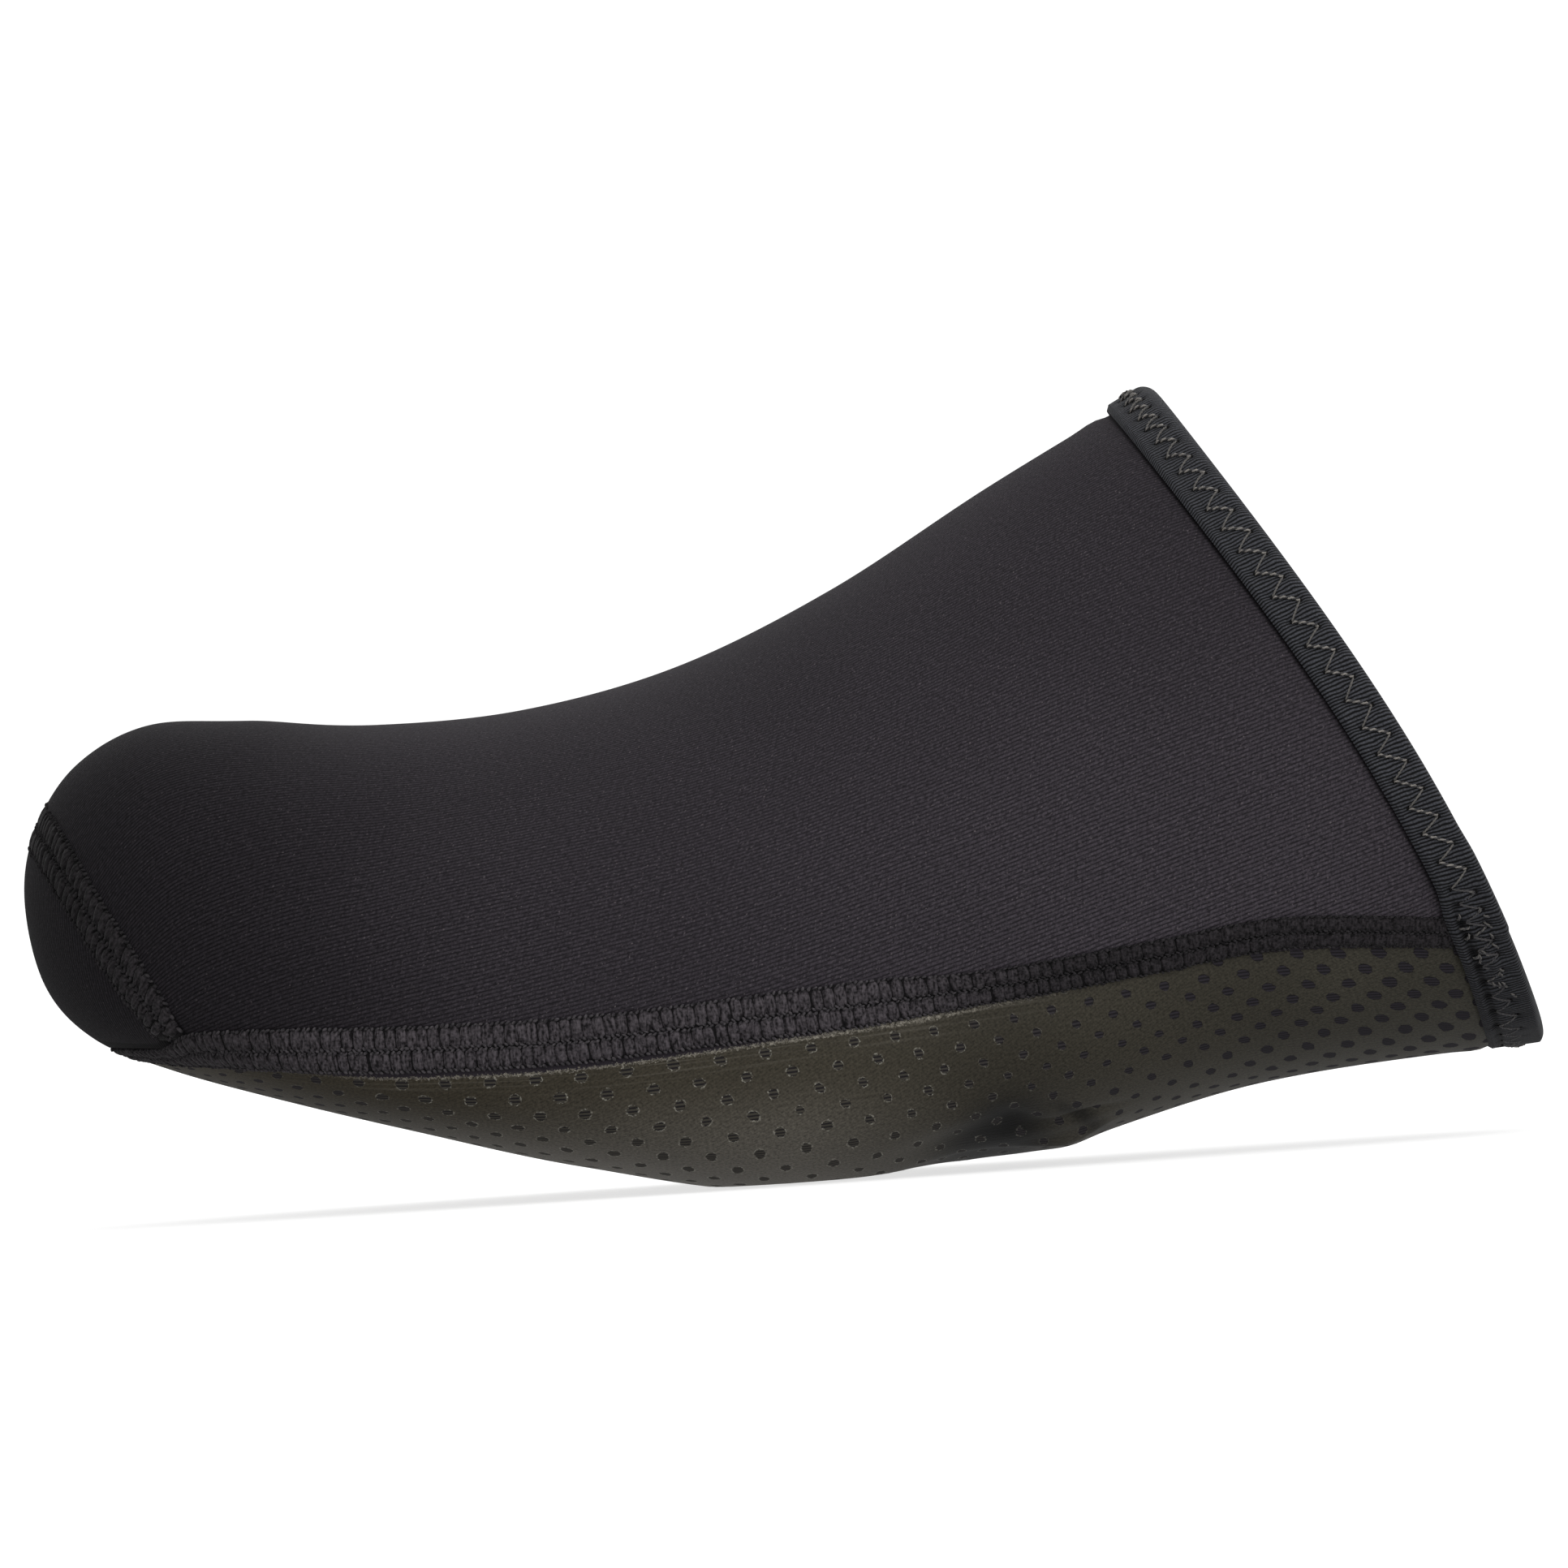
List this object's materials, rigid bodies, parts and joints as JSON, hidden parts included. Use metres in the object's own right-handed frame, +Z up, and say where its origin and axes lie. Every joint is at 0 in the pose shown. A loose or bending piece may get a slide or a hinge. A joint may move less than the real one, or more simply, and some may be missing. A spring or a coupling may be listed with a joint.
{
  "type": "cycling toe cover",
  "caption": "Toe cover for a left cycling shoe: ribbed neoprene upper and toe panel, dotted coated sole, raised flatlock seams and an elastic-bound open collar.",
  "frame": {"origin": "on the floor, under the middle of the cover's bounding box", "axes": "+Z up, the toe towards -X, the collar towards +X, the outer side of the left foot towards -Y"},
  "size_m": [0.1786, 0.1034, 0.0913],
  "materials": {
    "ribbed_neoprene": "matte ribbed jersey on neoprene",
    "coated_knit": "satin coated knit with round uncoated dots",
    "elastic_tape": "matte ribbed elastic tape",
    "seam_thread": "soft polyester thread"
  },
  "bodies": {
    "root": {"upper": "ribbed_neoprene", "toe_panel": "ribbed_neoprene", "sole": "coated_knit", "collar_binding": "elastic_tape", "sole_seam": "seam_thread", "toe_seam": "seam_thread"}
  },
  "joints": []
}
